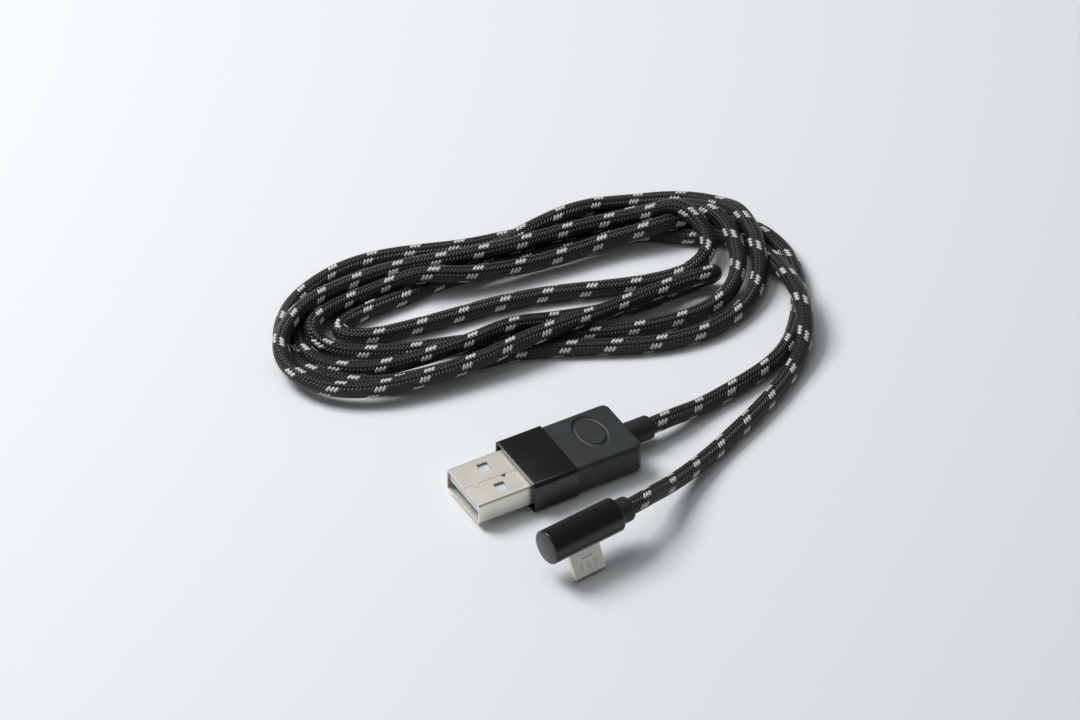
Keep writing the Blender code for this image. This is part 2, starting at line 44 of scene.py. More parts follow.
CAMERA_AIM = Vector((0.01315, 0.02994, 0.0))
CAMERA_DISTANCE = 1.5
CAMERA_RISE = math.radians(40.3)
CAMERA_TURN = math.radians(-29.9)
CAMERA_LENS = 267.7

bpy.ops.object.camera_add(
    location=CAMERA_AIM + CAMERA_DISTANCE * Vector((
        math.sin(CAMERA_TURN) * math.cos(CAMERA_RISE),
        -math.cos(CAMERA_TURN) * math.cos(CAMERA_RISE),
        math.sin(CAMERA_RISE))),
    rotation=(math.radians(90) - CAMERA_RISE, 0.0, CAMERA_TURN))
camera = bpy.context.object
camera.data.sensor_width = 36.0
camera.data.lens = CAMERA_LENS
camera.data.clip_start = 0.05
bpy.context.scene.camera = camera

# ---- Braided cord -------------------------------------------------------------------------
# Five loose turns of one thin charging cord, plug to plug: four wires in a soft jacket, inside a
# tubular braid of 24 carriers laid two over and two under. It is limp, and lies on the table.

MM = 0.001
CORD_DIAMETER = 3.25 * MM
CORD_SIDES = 24
CORD_RING_STEP = 0.5 * MM
BRAID_LAY = 8.45 * MM
CARRIERS_EACH_WAY = 12
WHITE_CARRIERS = 3
INTO_RUBBER = 0.4 * MM
RELIEF_EXIT = Vector((19.7, 0.0, 3.4)) * MM
MICRO_TURN = math.radians(6.5)
MICRO_LEAN = math.radians(27.0)
MICRO_PLACE = Vector((-9.49, -22.89, 7.448)) * MM
MICRO_AXIS = Vector((math.cos(MICRO_TURN), math.sin(MICRO_TURN), 0.0))
NECK_EXIT = MICRO_PLACE + 12.1 * MM * MICRO_AXIS

# The cord's way from one plug to the other: x, y and the height of its middle, in millimetres.
USB_A_ROUTE = (
    (24.6, 0.5, 3.2), (29.0, 1.3, 2.6), (33.4, 2.2, 2.0), (37.8, 3.0, 1.7), (43.4, 4.1, 1.6),
    (48.6, 5.3, 1.6), (53.0, 7.2, 1.6), (56.8, 10.3, 1.6), (60.2, 14.2, 1.6), (63.0, 18.4, 1.6),
    (65.2, 22.6, 1.6), (66.9, 27.0, 1.6), (68.0, 31.6, 1.6), (68.4, 36.2, 1.6), (68.3, 40.4, 1.6),
)
FIRST_TURN = (
    (66.1, 43.8, 1.6), (62.5, 46.6, 1.6), (57.0, 47.9, 2.8), (50.6, 47.9, 4.6), (46.0, 49.2, 4.8),
    (41.0, 50.8, 4.4),
    (32.5, 50.9, 3.8), (24.3, 52.0, 3.6), (15.8, 53.2, 4.4), (7.8, 55.8, 4.6), (0.5, 59.4, 3.8),
    (-8.2, 60.8, 3.6), (-12.9, 59.9, 3.8), (-16.6, 59.0, 4.0), (-19.8, 58.3, 4.2),
    (-22.4, 57.4, 4.2), (-24.2, 55.6, 4.0), (-24.1, 53.6, 3.2), (-22.2, 51.6, 2.2),
    (-18.3, 48.3, 1.6), (-13.7, 45.3, 1.6), (-9.4, 43.1, 1.6), (-4.8, 41.7, 1.6), (0.0, 40.8, 1.6),
    (8.6, 37.0, 1.6), (17.0, 32.8, 1.6), (23.6, 30.1, 1.6), (30.6, 27.3, 1.6), (39.0, 25.3, 1.6),
    (45.0, 25.0, 2.0),
)
SECOND_TURN = (
    (47.9, 24.8, 2.6), (51.3, 25.5, 3.4), (54.2, 27.1, 4.0), (56.6, 29.3, 4.6), (57.8, 31.8, 4.9),
    (59.7, 35.8, 4.9), (61.1, 39.9, 4.9), (61.7, 44.2, 4.8), (60.4, 48.5, 4.6), (58.4, 51.4, 4.4),
    (54.9, 54.1, 4.0), (50.0, 56.3, 2.6), (45.0, 57.6, 1.7), (40.0, 58.6, 1.6), (35.0, 59.6, 1.6),
    (30.0, 60.6, 1.6), (25.0, 61.6, 1.6), (20.0, 62.8, 1.6), (16.5, 63.8, 1.6), (12.5, 65.2, 1.6),
    (6.5, 67.8, 1.6), (0.0, 69.7, 1.6), (-5.4, 70.4, 1.6),
    (-10.3, 69.7, 1.6), (-15.1, 68.2, 1.6), (-18.9, 66.7, 1.6), (-21.9, 64.9, 1.6),
    (-23.7, 63.0, 1.6), (-24.9, 60.9, 1.6), (-26.3, 57.0, 1.6), (-27.0, 51.9, 1.6),
    (-26.5, 46.9, 1.6), (-24.5, 42.7, 1.6), (-21.2, 39.2, 1.6), (-17.4, 36.8, 1.6),
    (-13.6, 35.5, 1.6), (-8.9, 34.8, 1.6), (-4.4, 34.2, 1.6), (0.0, 34.0, 1.6), (6.4, 33.1, 1.6),
    (12.2, 32.0, 1.6), (17.3, 29.7, 1.6), (23.8, 26.0, 1.6), (32.1, 21.6, 1.6), (39.8, 19.9, 1.6),
)
THIRD_TURN = (
    (43.9, 19.5, 1.6), (48.2, 20.2, 1.6), (52.2, 21.7, 1.6), (55.2, 23.2, 2.2), (58.0, 25.2, 3.0),
    (60.5, 28.2, 4.0), (62.4, 31.5, 4.6), (63.6, 34.9, 4.5), (64.8, 39.0, 4.0), (65.4, 43.2, 3.6),
    (65.1, 47.8, 3.2), (64.2, 51.2, 2.9), (62.5, 53.9, 2.6), (60.3, 55.8, 2.4), (57.0, 57.6, 2.0),
    (52.4, 59.5, 1.8), (47.0, 60.0, 3.4), (41.0, 60.0, 4.5), (35.0, 59.9, 4.9), (30.0, 59.7, 4.8),
    (25.0, 59.6, 4.3), (20.0, 59.8, 3.2), (15.0, 60.4, 2.1), (9.0, 61.7, 1.6), (2.0, 63.7, 1.6),
    (-5.0, 65.4, 1.6), (-11.0, 65.8, 1.6), (-16.0, 64.4, 1.6),
    (-20.6, 61.2, 1.6), (-22.9, 58.5, 1.6), (-25.4, 55.9, 1.6), (-26.8, 53.7, 1.6),
    (-27.0, 51.1, 1.6), (-25.7, 48.4, 1.6), (-23.0, 45.5, 1.6), (-20.0, 43.2, 2.0),
    (-16.0, 40.9, 2.8), (-11.7, 39.0, 3.8), (-7.8, 37.9, 4.6), (0.9, 37.0, 4.9), (9.8, 36.5, 4.4),
    (18.8, 36.2, 3.6), (23.4, 35.8, 2.8), (27.2, 35.2, 2.1), (32.6, 33.6, 1.6), (37.3, 32.3, 1.6),
    (42.0, 33.3, 1.6), (46.2, 33.7, 1.6), (49.9, 33.3, 1.9),
)
FOURTH_TURN = (
    (53.0, 32.9, 2.6), (54.6, 32.2, 3.8), (54.2, 31.3, 5.6), (51.4, 30.6, 6.7), (48.4, 30.6, 6.8),
    (45.9, 30.8, 6.5), (41.8, 31.3, 6.0), (37.4, 31.9, 5.5), (28.1, 31.8, 5.0), (19.2, 31.8, 4.9),
    (9.8, 31.6, 4.8), (0.1, 31.5, 4.5), (-9.0, 32.4, 4.3), (-17.6, 33.7, 4.2), (-21.8, 35.4, 4.1),
    (-25.1, 37.3, 4.1), (-28.0, 39.8, 4.1), (-30.1, 43.0, 4.2), (-31.1, 45.8, 4.4),
    (-31.2, 48.5, 4.6), (-30.8, 52.0, 4.8), (-29.5, 54.1, 4.9), (-27.5, 56.3, 4.9),
    (-25.2, 58.0, 4.9), (-22.4, 59.7, 4.9), (-19.8, 61.0, 4.8), (-15.7, 62.6, 4.7),
    (-12.1, 63.3, 4.6), (-1.5, 63.0, 4.4), (7.0, 60.9, 4.5), (14.7, 58.7, 4.7), (23.5, 57.0, 5.0),
    (32.0, 55.9, 5.2), (41.0, 54.4, 5.1), (45.4, 53.7, 5.1), (49.8, 52.3, 5.2), (53.4, 50.4, 5.1),
)
FIFTH_TURN = (
    (56.3, 47.5, 5.0), (57.4, 44.8, 5.0), (57.4, 41.6, 5.0), (56.4, 38.8, 4.9), (55.0, 37.0, 4.4),
    (52.7, 36.1, 3.6), (50.5, 36.0, 2.7), (47.6, 36.3, 1.9), (43.9, 36.8, 1.6), (36.2, 39.0, 1.6),
    (28.6, 42.2, 1.6), (21.0, 44.9, 1.6), (13.0, 46.6, 1.6), (4.2, 47.2, 1.6), (-3.0, 48.2, 1.6),
    (-10.9, 49.2, 1.6), (-15.8, 50.9, 1.6), (-17.9, 52.5, 1.6), (-18.2, 54.6, 1.6),
    (-17.3, 56.2, 1.6), (-15.6, 56.7, 1.6), (-13.3, 56.6, 1.6), (-10.4, 56.7, 1.6),
    (-5.3, 57.4, 1.6), (-1.4, 57.4, 1.6), (3.0, 57.7, 1.6), (7.2, 57.5, 1.6), (11.4, 57.2, 1.6),
    (15.5, 56.7, 1.6), (26.1, 55.0, 1.6), (34.3, 54.2, 1.6), (40.5, 53.4, 1.6), (44.6, 52.3, 1.6),
    (49.1, 50.5, 1.6), (53.3, 48.3, 1.6), (57.2, 45.6, 1.6), (60.6, 42.7, 1.6), (63.9, 38.6, 1.6),
    (66.1, 33.8, 1.8),
)
MICRO_ROUTE = (
    (64.5, 27.9, 4.1), (63.6, 22.9, 5.0), (62.7, 18.9, 5.4), (61.7, 15.5, 5.5), (60.2, 11.8, 5.2),
    (58.2, 8.3, 4.4), (55.9, 5.4, 3.4), (53.6, 3.6, 2.5), (50.6, 1.6, 1.9), (45.7, -1.4, 1.6),
    (40.8, -4.1, 1.6), (36.2, -6.2, 1.6), (32.1, -8.0, 1.7), (27.8, -10.0, 2.1),
    (23.2, -12.1, 2.8), (18.4, -14.5, 3.9), (13.4, -17.0, 5.2), (8.0, -19.6, 6.6),
)
CORNER_CUTS = 3
EASING_PASSES = 10
LIE_STEP = 1.0 * MM
LIE_PASSES = 600
LOOK_AROUND_EVERY = 8
SETTLING_SHARE = 0.8
STRAIGHTENING = 0.25
SINK_STEP = 0.01 * MM
ROUTE_PULL = 0.03
ROUTE_PULL_WAYS = (1.0, 1.0, 0.35)
HELD_LENGTH = 12.0 * MM


def cut_corners(points, times):
    """Rounds a route by cutting every corner off it, a few times over."""
    for _ in range(times):
        cut = np.empty((2 * len(points), 3))
        cut[0], cut[-1] = points[0], points[-1]
        cut[1:-1:2] = 0.75 * points[:-1] + 0.25 * points[1:]
        cut[2:-1:2] = 0.25 * points[:-1] + 0.75 * points[1:]
        points = cut
    return points


def space_evenly(points, step):
    """The same line, with its points the same distance apart."""
    along = np.concatenate([[0.0], np.cumsum(np.linalg.norm(np.diff(points, axis=0), axis=1))])
    wanted = np.linspace(0.0, along[-1], round(along[-1] / step) + 1)
    return np.stack([np.interp(wanted, along, points[:, axis]) for axis in range(3)], axis=1)


def ease(points, passes):
    """Evens out small bends: each point moves halfway to the middle of its neighbours."""
    for _ in range(passes):
        points = points.copy()
        points[1:-1] = 0.5 * points[1:-1] + 0.25 * (points[:-2] + points[2:])
    return points


def let_cord_lie(points):
    """Settles the cord: it straightens a little, sinks, and its turns push each other apart."""
    count = len(points)
    drawn = points.copy()
    neighbours = round(2.2 * CORD_DIAMETER / LIE_STEP)
    from_end = np.minimum(np.arange(count), count - 1 - np.arange(count)) * LIE_STEP
    free = np.clip(from_end / HELD_LENGTH - 0.5, 0.0, 1.0)[:, None]
    for number in range(LIE_PASSES):
        if number % LOOK_AROUND_EVERY == 0:
            apart = ((points[:, None] - points[None]) ** 2).sum(axis=2)
            one, other = np.nonzero(apart < (1.5 * CORD_DIAMETER) ** 2)
            near = other - one > neighbours
            one, other = one[near], other[near]
        if number < SETTLING_SHARE * LIE_PASSES:
            eased = points.copy()
            eased[1:-1] += STRAIGHTENING * ((points[:-2] + points[2:]) / 2 - points[1:-1])
            eased[:, 2] -= SINK_STEP
            eased += ROUTE_PULL * (drawn - eased) * ROUTE_PULL_WAYS
            points = points + (eased - points) * free
        line = points[other] - points[one]
        length = np.linalg.norm(line, axis=1)
        close = length < CORD_DIAMETER
        push = line[close] / length[close, None] * (CORD_DIAMETER - length[close, None]) / 2
        moved, pushes = np.zeros_like(points), np.zeros(count)
        np.add.at(moved, one[close], -push)
        np.add.at(moved, other[close], push)
        np.add.at(pushes, one[close], 1)
        np.add.at(pushes, other[close], 1)
        points = points + moved / np.maximum(pushes, 1)[:, None] * free
        points[:, 2] = np.maximum(points[:, 2], CORD_DIAMETER / 2)
    return points


turns = FIRST_TURN + SECOND_TURN + THIRD_TURN + FOURTH_TURN + FIFTH_TURN
route = [RELIEF_EXIT, RELIEF_EXIT + Vector((CORD_DIAMETER, 0.0, 0.0))]
route += [Vector(point) * MM for point in USB_A_ROUTE + turns + MICRO_ROUTE]
route += [NECK_EXIT + CORD_DIAMETER * MICRO_AXIS, NECK_EXIT]
cord_line = space_evenly(cut_corners(np.array(route), CORNER_CUTS), LIE_STEP)
cord_line = ease(let_cord_lie(ease(cord_line, EASING_PASSES)), EASING_PASSES)
cord_line[:, 2] = np.maximum(cord_line[:, 2], CORD_DIAMETER / 2)
# A little more at each end, so that the braid goes into the rubber.
cord_line = np.vstack([RELIEF_EXIT - Vector((INTO_RUBBER, 0.0, 0.0)), cord_line,
                       NECK_EXIT - INTO_RUBBER * MICRO_AXIS])
cord_line = space_evenly(cut_corners(cord_line, 2), CORD_RING_STEP)


def braid_tube(name, line, radius, sides, lay):
    """A closed round tube along a line. Its UV map goes once round in u, and by the lay in v."""
    ahead = np.gradient(line, axis=0)
    ahead /= np.linalg.norm(ahead, axis=1)[:, None]
    across = np.cross(ahead[0], (0.0, 0.0, 1.0))
    across /= np.linalg.norm(across)
    mesh = bmesh.new()
    rings = []
    for point, forward in zip(line, ahead):
        across = across - forward * (across @ forward)
        across /= np.linalg.norm(across)
        up = np.cross(forward, across)
        turn = [2 * math.pi * side / sides for side in range(sides)]
        rings.append([mesh.verts.new(point + radius * (math.cos(a) * across + math.sin(a) * up))
                      for a in turn])
    uv = mesh.loops.layers.uv.new("braid")
    along = np.concatenate([[0.0], np.cumsum(np.linalg.norm(np.diff(line, axis=0), axis=1))]) / lay
    for ring in range(len(rings) - 1):
        for side in range(sides):
            after = (side + 1) % sides
            face = mesh.faces.new((rings[ring][side], rings[ring][after],
                                   rings[ring + 1][after], rings[ring + 1][side]))
            face.smooth = True
            corners = ((side, ring), (side + 1, ring), (side + 1, ring + 1), (side, ring + 1))
            for loop, (u, v) in zip(face.loops, corners):
                loop[uv].uv = (u / sides, along[v])
    mesh.faces.new(reversed(rings[0]))
    mesh.faces.new(rings[-1])
    data = bpy.data.meshes.new(name)
    mesh.to_mesh(data)
    mesh.free()
    item = bpy.data.objects.new(name, data)
    bpy.context.scene.collection.objects.link(item)
    return item


def linear(code):
    """A #rrggbb sRGB colour, made linear."""
    parts = [int(code[place:place + 2], 16) / 255 for place in (1, 3, 5)]
    return (*[c / 12.92 if c <= 0.04045 else ((c + 0.055) / 1.055) ** 2.4 for c in parts], 1.0)


def node(material, kind, settings=None, links=None):
    """Adds one node. A link is a socket's value, or the output of another node that feeds it."""
    item = material.node_tree.nodes.new(kind)
    for key, value in (settings or {}).items():
        setattr(item, key, value)
    for key, value in (links or {}).items():
        if isinstance(value, bpy.types.NodeSocket):
            material.node_tree.links.new(value, item.inputs[key])
        else:
            item.inputs[key].default_value = value
    return item


def new_material(name, **sockets):
    """A material with the values that are the same all over set on its shader."""
    material = bpy.data.materials.new(name)
    material.use_nodes = True
    shader = material.node_tree.nodes["Principled BSDF"]
    for key, value in sockets.items():
        shader.inputs[key.replace("_", " ")].default_value = value
    return material, shader


def feed(material, shader, **outputs):
    """Joins outputs to the shader's sockets."""
    for key, output in outputs.items():
        material.node_tree.links.new(output, shader.inputs[key.replace("_", " ")])


# Polyester braid, twisted yarn woven in a tube. Near-black brown yarn with a dry, dusty sheen, and
# three white carriers side by side, which come up as a row of white flecks once in each lay.
braid, shader = new_material("polyester_braid", Roughness=0.36, Sheen_Weight=0.08,
                             Sheen_Roughness=0.35)
shader.inputs["Sheen Tint"].default_value = linear("#b8aea2")
uv = node(braid, "ShaderNodeUVMap", {"uv_map": "braid"})
parts = node(braid, "ShaderNodeSeparateXYZ", links={0: uv.outputs["UV"]})
values = {"around": parts.outputs[0], "lays": parts.outputs[1]}
# Each row is one sum: its name, its operation, and its terms, which are numbers or earlier names.
weave = (
    # A carrier's number goes up by one from each strand to the next, once for each way round.
    ("left_turns", "ADD", "around", "lays"),
    ("left_strand", "MULTIPLY", "left_turns", CARRIERS_EACH_WAY),
    ("left_number", "FLOOR", "left_strand"),
    ("left_across", "FRACT", "left_strand"),
    ("right_turns", "SUBTRACT", "around", "lays"),
    ("right_strand", "MULTIPLY", "right_turns", CARRIERS_EACH_WAY),
    ("right_number", "FLOOR", "right_strand"),
    ("right_across", "FRACT", "right_strand"),
    # Over two and under two: the sum of both numbers, counted in fours, says which lies on top.
    # A thousand more fours keep it above zero.
    ("both_numbers", "ADD", "left_number", "right_number"),
    ("above_zero", "ADD", "both_numbers", 4000.0),
    ("count", "MODULO", "above_zero", 4.0),
    ("left_on_top", "LESS_THAN", "count", 1.5),
    ("left_or_right", "SUBTRACT", "left_across", "right_across"),
    ("across", "MULTIPLY_ADD", "left_on_top", "left_or_right", "right_across"),
    # A float is two crossings long.
    ("left_crossings", "ADD", "count", "right_across"),
    ("left_float", "MULTIPLY", "left_crossings", 0.5),
    ("right_count", "SUBTRACT", "count", 2.0),
    ("right_crossings", "ADD", "right_count", "left_across"),
    ("right_float", "MULTIPLY", "right_crossings", 0.5),
    ("either_float", "SUBTRACT", "left_float", "right_float"),
    ("on_float", "MULTIPLY_ADD", "left_on_top", "either_float", "right_float"),
    # A strand is round across, and dips where it goes under at each end of its float.
    ("signed_across", "MULTIPLY_ADD", "across", 2.0, -1.0),
    ("from_middle", "ABSOLUTE", "signed_across"),
    ("fall_across", "POWER", "from_middle", 2.0),
    ("round_across", "SUBTRACT", 1.0, "fall_across"),
    ("signed_along", "MULTIPLY_ADD", "on_float", 2.0, -1.0),
    ("from_centre", "ABSOLUTE", "signed_along"),
    ("fall_along", "POWER", "from_centre", 4.0),
    ("round_along", "SUBTRACT", 1.0, "fall_along"),
    ("strand_height", "MULTIPLY", "round_across", "round_along"),
    # Filaments: about forty to a yarn are too fine to show, so three ribs stand for them.
    ("rib_angle", "MULTIPLY", "across", 3 * math.pi),
    ("rib_wave", "SINE", "rib_angle"),
    ("ribs", "ABSOLUTE", "rib_wave"),
    ("height", "MULTIPLY_ADD", "ribs", 0.16, "strand_height"),
    # The white carriers lie side by side among those that run left, counted round the cord.
    ("counted_on", "ADD", "left_number", 100 * CARRIERS_EACH_WAY),
    ("carrier", "MODULO", "counted_on", CARRIERS_EACH_WAY),
    ("is_white", "LESS_THAN", "carrier", WHITE_CARRIERS - 0.5),
    ("white", "MULTIPLY", "left_on_top", "is_white"),
)
for name, operation, *terms in weave:
    values[name] = node(braid, "ShaderNodeMath", {"operation": operation}, {
        socket: values.get(term, term) for socket, term in enumerate(terms)}).outputs[0]
stitch = node(braid, "ShaderNodeCombineXYZ", links={0: values["left_number"],
                                                    1: values["right_number"]})
values["stitch_shade"] = node(braid, "ShaderNodeTexWhiteNoise", {"noise_dimensions": "2D"},
                              {"Vector": stitch.outputs[0]}).outputs["Value"]
values["fuzz"] = node(braid, "ShaderNodeTexNoise", {"noise_dimensions": "3D"},
                      {"Vector": node(braid, "ShaderNodeTexCoord").outputs["Object"],
                       "Scale": 1600.0, "Detail": 2.0}).outputs["Fac"]
# Painted highlight and shade: each strand is painted lighter on its crown and darker at its edges
# and dips.
# Loose fibres add a fuzz, and some stitches are lighter than others.
shading = (
    ("dust", "MULTIPLY_ADD", "fuzz", 1.3, -0.3),
    ("dust_and_crown_highlight", "MULTIPLY", "dust", "strand_height"),
    ("stitch_gain", "MULTIPLY_ADD", "stitch_shade", 0.9, 0.35),
    ("fuzz_stitch_and_crown_highlight", "MULTIPLY", "dust_and_crown_highlight", "stitch_gain"),
    ("lit_ribs", "MULTIPLY", "strand_height", "ribs"),
    ("white_crown_highlight", "MULTIPLY_ADD", "lit_ribs", 0.5, 0.5),
)
for name, operation, *terms in shading:
    values[name] = node(braid, "ShaderNodeMath", {"operation": operation}, {
        socket: values.get(term, term) for socket, term in enumerate(terms)}).outputs[0]
# Dark yarn: the painted crown highlight and edge shade from the sums above set its colour.
dark_yarn = node(
    braid, "ShaderNodeMix", {"data_type": "RGBA", "clamp_factor": True},
    {0: values["fuzz_stitch_and_crown_highlight"], 6: linear("#030202"), 7: linear("#2e2620")}).outputs[2]
# White yarn: painted lighter on the crowns of its ribs and darker at the edges and dips of its
# strands.
white_yarn = node(
    braid, "ShaderNodeMix", {"data_type": "RGBA", "clamp_factor": True},
    {0: values["white_crown_highlight"], 6: linear("#57534f"), 7: linear("#e4e2de")}).outputs[2]
yarn = node(braid, "ShaderNodeMix", {"data_type": "RGBA"},
            {0: values["white"], 6: dark_yarn, 7: white_yarn}).outputs[2]
feed(braid, shader, Base_Color=yarn,
     Normal=node(braid, "ShaderNodeBump", links={"Strength": 0.9, "Distance": 0.16 * MM,
                                                 "Height": values["height"]}).outputs["Normal"])

cord = braid_tube("charging_cord", cord_line, CORD_DIAMETER / 2, CORD_SIDES, BRAID_LAY)
cord.data.materials.append(braid)
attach(cord, "plugs_and_cord")
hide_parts("cord_usb_a_end", "cord_hank", "cord_micro_end")


def dress(name, material):
    """Gives a frame part its material."""
    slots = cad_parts[name].data.materials
    slots.clear()
    slots.append(material)


dress("usb_a_cord_core", braid)
dress("micro_cord_core", braid)

# ---- Table and light ----------------------------------------------------------------------
# A plain white table in a pale room, under a soft light from the back left and a wider, weaker
# one overhead.

bpy.ops.object.select_all(action="DESELECT")
bpy.ops.mesh.primitive_plane_add(size=6.0, location=(0.0, 0.0, 0.0))
table = bpy.context.object
table.name = "table"
laminate, shader = new_material("white_laminate", Roughness=0.55)
shader.inputs["Base Color"].default_value = linear("#e4e8ea")
table.data.materials.append(laminate)

world = bpy.data.worlds.new("pale_room")
world.use_nodes = True
world.node_tree.nodes["Background"].inputs["Color"].default_value = linear("#f0f3f5")
world.node_tree.nodes["Background"].inputs["Strength"].default_value = 0.2
bpy.context.scene.world = world
bpy.context.scene.view_settings.view_transform = "Standard"


def softbox(name, direction, distance, size, power):
    """A square lamp that faces the middle of the object."""
    direction = Vector(direction).normalized()
    bpy.ops.object.light_add(type="AREA", location=CAMERA_AIM + distance * direction)
    lamp = bpy.context.object
    lamp.name = name
    lamp.rotation_euler = direction.to_track_quat("Z", "Y").to_euler()
    lamp.data.size = size
    lamp.data.energy = power


softbox("back_left_light", (-0.55, 0.75, 1.15), 0.9, 0.42, 7.4)
softbox("overhead_light", (-0.15, 0.25, 1.0), 1.1, 0.8, 2.7)

# ---- USB-A shell --------------------------------------------------------------------------
# Steel strip, stamped, folded into a flat tube and plated with satin nickel. Its two long edges
# meet in a seam down the top, locked by one tab, and it has two latch windows above and below.

MOUTH_X, SHELL_BACK, AXIS_Z = -20.3, -2.7, 3.4
SHELL_HALF_WIDTH, SHELL_HALF_HEIGHT, SHELL_WALL = 6.0, 2.25, 0.3
SHELL_CORNER = 0.5
WINDOW_X, WINDOW_Y = (-15.15, -13.05), (1.85, 4.35)
WINDOW_ROUND = 0.3
SEAM_Y, TAB_Y, SEAM_WIDTH, SEAM_DEPTH = -0.35, -1.2, 0.11, 0.2
SEAM_END_X, TAB_X, TAB_FLARE = -9.0, (-18.6, -17.1), 0.15
NOTCH_PLACE, NOTCH_RADIUS, NOTCH_DEPTH = (-12.2, -0.65), 0.75, 0.6


def block(name, low, high):
    """A box between two corners in millimetres, ready to be shaped."""
    bpy.ops.object.select_all(action="DESELECT")
    low, high = Vector(low) * MM, Vector(high) * MM
    bpy.ops.mesh.primitive_cube_add(size=1.0, location=(low + high) / 2)
    item = bpy.context.object
    item.name = name
    item.scale = high - low
    bpy.ops.object.transform_apply(location=True, rotation=True, scale=True)
    return item


def open_up(item):
    """Makes an object the only one selected, in edit mode."""
    bpy.ops.object.select_all(action="DESELECT")
    item.select_set(True)
    bpy.context.view_layer.objects.active = item
    bpy.ops.object.mode_set(mode="EDIT")


def pick(kind, test):
    """Selects the faces or edges that pass a test on their middle, in mm, and their direction."""
    bpy.ops.mesh.select_mode(type=kind)
    bpy.ops.mesh.select_all(action="DESELECT")
    data = bpy.context.object.data
    mesh = bmesh.from_edit_mesh(data)
    for part in (mesh.faces if kind == "FACE" else mesh.edges):
        middle = sum((corner.co for corner in part.verts), Vector()) / len(part.verts) / MM
        way = part.normal if kind == "FACE" else part.verts[1].co - part.verts[0].co
        part.select_set(bool(test(middle, way.normalized())))
    mesh.select_flush_mode()
    bmesh.update_edit_mesh(data)


def round_edges(item, width, segments, test):
    """Bevels the edges that pass a test."""
    open_up(item)
    pick("EDGE", test)
    bpy.ops.mesh.bevel(offset=width * MM, segments=segments, affect="EDGES")
    bpy.ops.object.mode_set(mode="OBJECT")


def modify(item, kind, **settings):
    """Adds one modifier and applies it."""
    bpy.ops.object.select_all(action="DESELECT")
    item.select_set(True)
    bpy.context.view_layer.objects.active = item
    change = item.modifiers.new(kind.lower(), kind)
    for key, value in settings.items():
        setattr(change, key, value)
    bpy.ops.object.modifier_apply(modifier=change.name)


def carve(item, cutter, operation="DIFFERENCE"):
    """Cuts one shape out of another, and takes the cutter away."""
    modify(item, "BOOLEAN", operation=operation, solver="EXACT", object=cutter)
    bpy.data.objects.remove(cutter)


def score(item, start, end, width, top, depth):
    """Cuts a straight groove between two points into a top face."""
    (x, y), (far_x, far_y) = start, end
    length = math.hypot(far_x - x, far_y - y) + width
    cutter = block("score", (-length / 2, -width / 2, -depth), (length / 2, width / 2, 1.0))
    cutter.matrix_world = (Matrix.Translation(Vector(((x + far_x) / 2, (y + far_y) / 2, top)) * MM)
                           @ Matrix.Rotation(math.atan2(far_y - y, far_x - x), 4, "Z"))
    carve(item, cutter)


def finish_piece(item, material, body="plugs_and_cord", stands_for=(), angle=30):
    """Closes a piece: doubles merged, shaded, given its material, and tied to the frame."""
    open_up(item)
    bpy.ops.mesh.select_all(action="SELECT")
    bpy.ops.mesh.remove_doubles(threshold=0.001 * MM)
    bpy.ops.mesh.normals_make_consistent(inside=False)
    bpy.ops.object.mode_set(mode="OBJECT")
    bpy.ops.object.transform_apply(location=True, rotation=True, scale=True)
    bpy.ops.object.shade_smooth_by_angle(angle=math.radians(angle))
    item.data.materials.clear()
    item.data.materials.append(material)
    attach(item, body)
    if stands_for:
        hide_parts(*stands_for)


# Satin nickel over rolled steel strip: warm, soft-edged reflections, with faint rolling lines
# along the strip, about 0.05 mm apart and drawn at 0.2 mm so that they show.
nickel, shader = new_material("satin_nickel_plate", Metallic=1.0)
place = node(nickel, "ShaderNodeTexCoord").outputs["Object"]
rolled = node(nickel, "ShaderNodeMapping", links={"Vector": place, "Scale": (120, 5000, 5000)})
lines = node(nickel, "ShaderNodeTexNoise", links={"Vector": rolled.outputs[0], "Scale": 1.0,
                                                  "Detail": 3.0}).outputs["Fac"]
clouds = node(nickel, "ShaderNodeTexNoise", links={"Vector": place, "Scale": 320.0,
                                                   "Detail": 2.0}).outputs["Fac"]
plate = node(nickel, "ShaderNodeMix", {"data_type": "RGBA"},
             {0: clouds, 6: linear("#ebe5d8"), 7: linear("#f6f3eb")})
dull = node(nickel, "ShaderNodeMapRange", links={"Value": lines, "To Min": 0.4, "To Max": 0.54})
relief = node(nickel, "ShaderNodeBump", links={"Strength": 0.25, "Distance": 0.004 * MM,
                                               "Height": lines})
feed(nickel, shader, Base_Color=plate.outputs[2], Roughness=dull.outputs[0],
     Normal=relief.outputs[0])

shell = block("usb_a_folded_shell",
              (MOUTH_X, -SHELL_HALF_WIDTH, AXIS_Z - SHELL_HALF_HEIGHT),
              (SHELL_BACK, SHELL_HALF_WIDTH, AXIS_Z + SHELL_HALF_HEIGHT))
round_edges(shell, SHELL_CORNER, 6, lambda middle, way: abs(way.x) > 0.9)
open_up(shell)
pick("FACE", lambda middle, way: abs(way.x) > 0.9)
bpy.ops.mesh.delete(type="FACE")
bpy.ops.object.mode_set(mode="OBJECT")
modify(shell, "SOLIDIFY", thickness=SHELL_WALL * MM, offset=-1.0, use_even_offset=True)
for side in (-1, 1):
    window = block("window", (WINDOW_X[0], min(side * y for y in WINDOW_Y), -2.0),
                   (WINDOW_X[1], max(side * y for y in WINDOW_Y), 9.0))
    round_edges(window, WINDOW_ROUND, 4, lambda middle, way: abs(way.z) > 0.9)
    carve(shell, window)
top = AXIS_Z + SHELL_HALF_HEIGHT
seam = ((MOUTH_X - 0.2, SEAM_Y), (TAB_X[0], SEAM_Y), (TAB_X[0] - TAB_FLARE, TAB_Y),
        (TAB_X[1], TAB_Y), (TAB_X[1] - TAB_FLARE, SEAM_Y), (SEAM_END_X, SEAM_Y))
for start, end in zip(seam, seam[1:]):
    score(shell, start, end, SEAM_WIDTH, top, SEAM_DEPTH)
bpy.ops.object.select_all(action="DESELECT")
